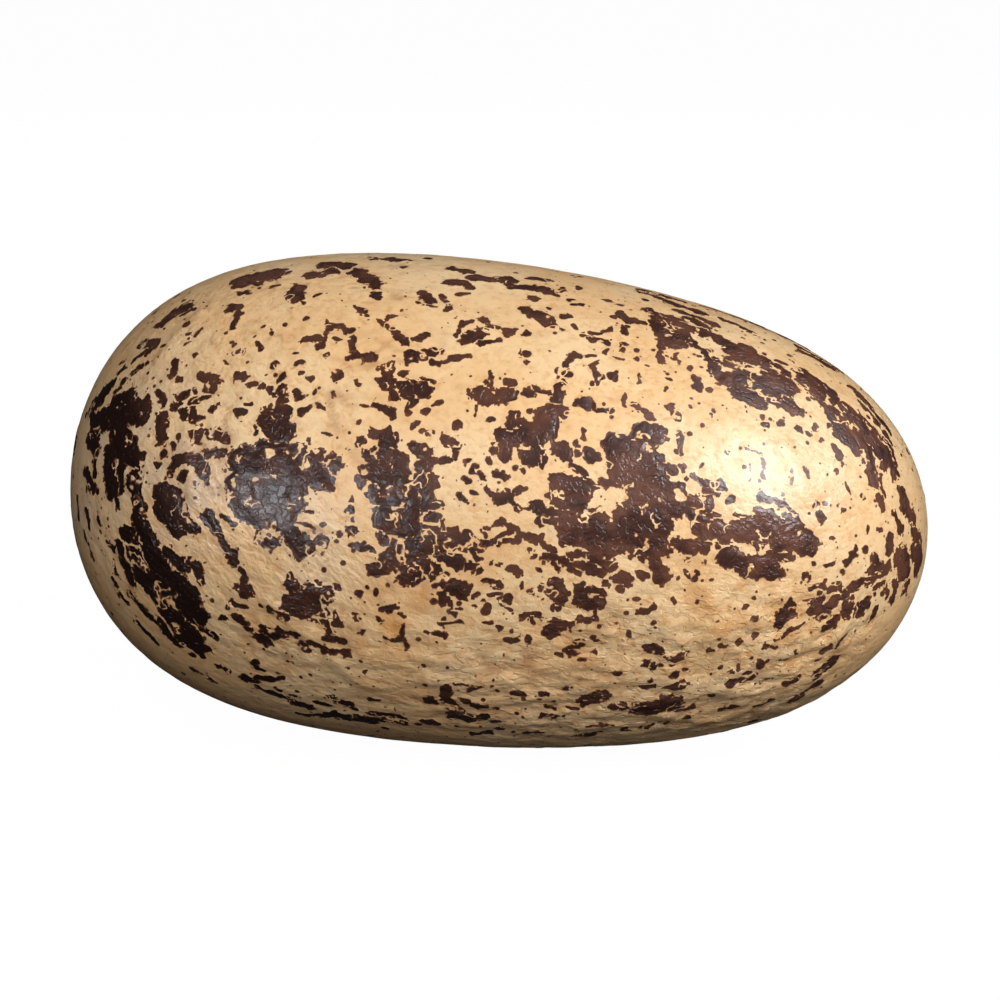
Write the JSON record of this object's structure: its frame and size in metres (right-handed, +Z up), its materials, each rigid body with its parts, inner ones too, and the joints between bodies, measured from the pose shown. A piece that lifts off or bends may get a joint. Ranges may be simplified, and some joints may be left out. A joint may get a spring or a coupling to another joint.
{
  "type": "fossil theropod egg",
  "caption": "Long oval fossil egg with a blunt and a narrow end, cream shell with dark brown speckles and patches, lying on its side on a small flat spot.",
  "frame": {"origin": "middle of the egg's length and width, on the surface that it rests on", "axes": "+X towards the narrow end, -Y towards the pictured front, +Z up"},
  "size_m": [0.1798, 0.1016, 0.102],
  "materials": {
    "eggshell": "cream-buff shell with dark brown speckles and patches, satin to semi-gloss varnish"
  },
  "bodies": {
    "root": {"egg": "eggshell"}
  },
  "joints": []
}
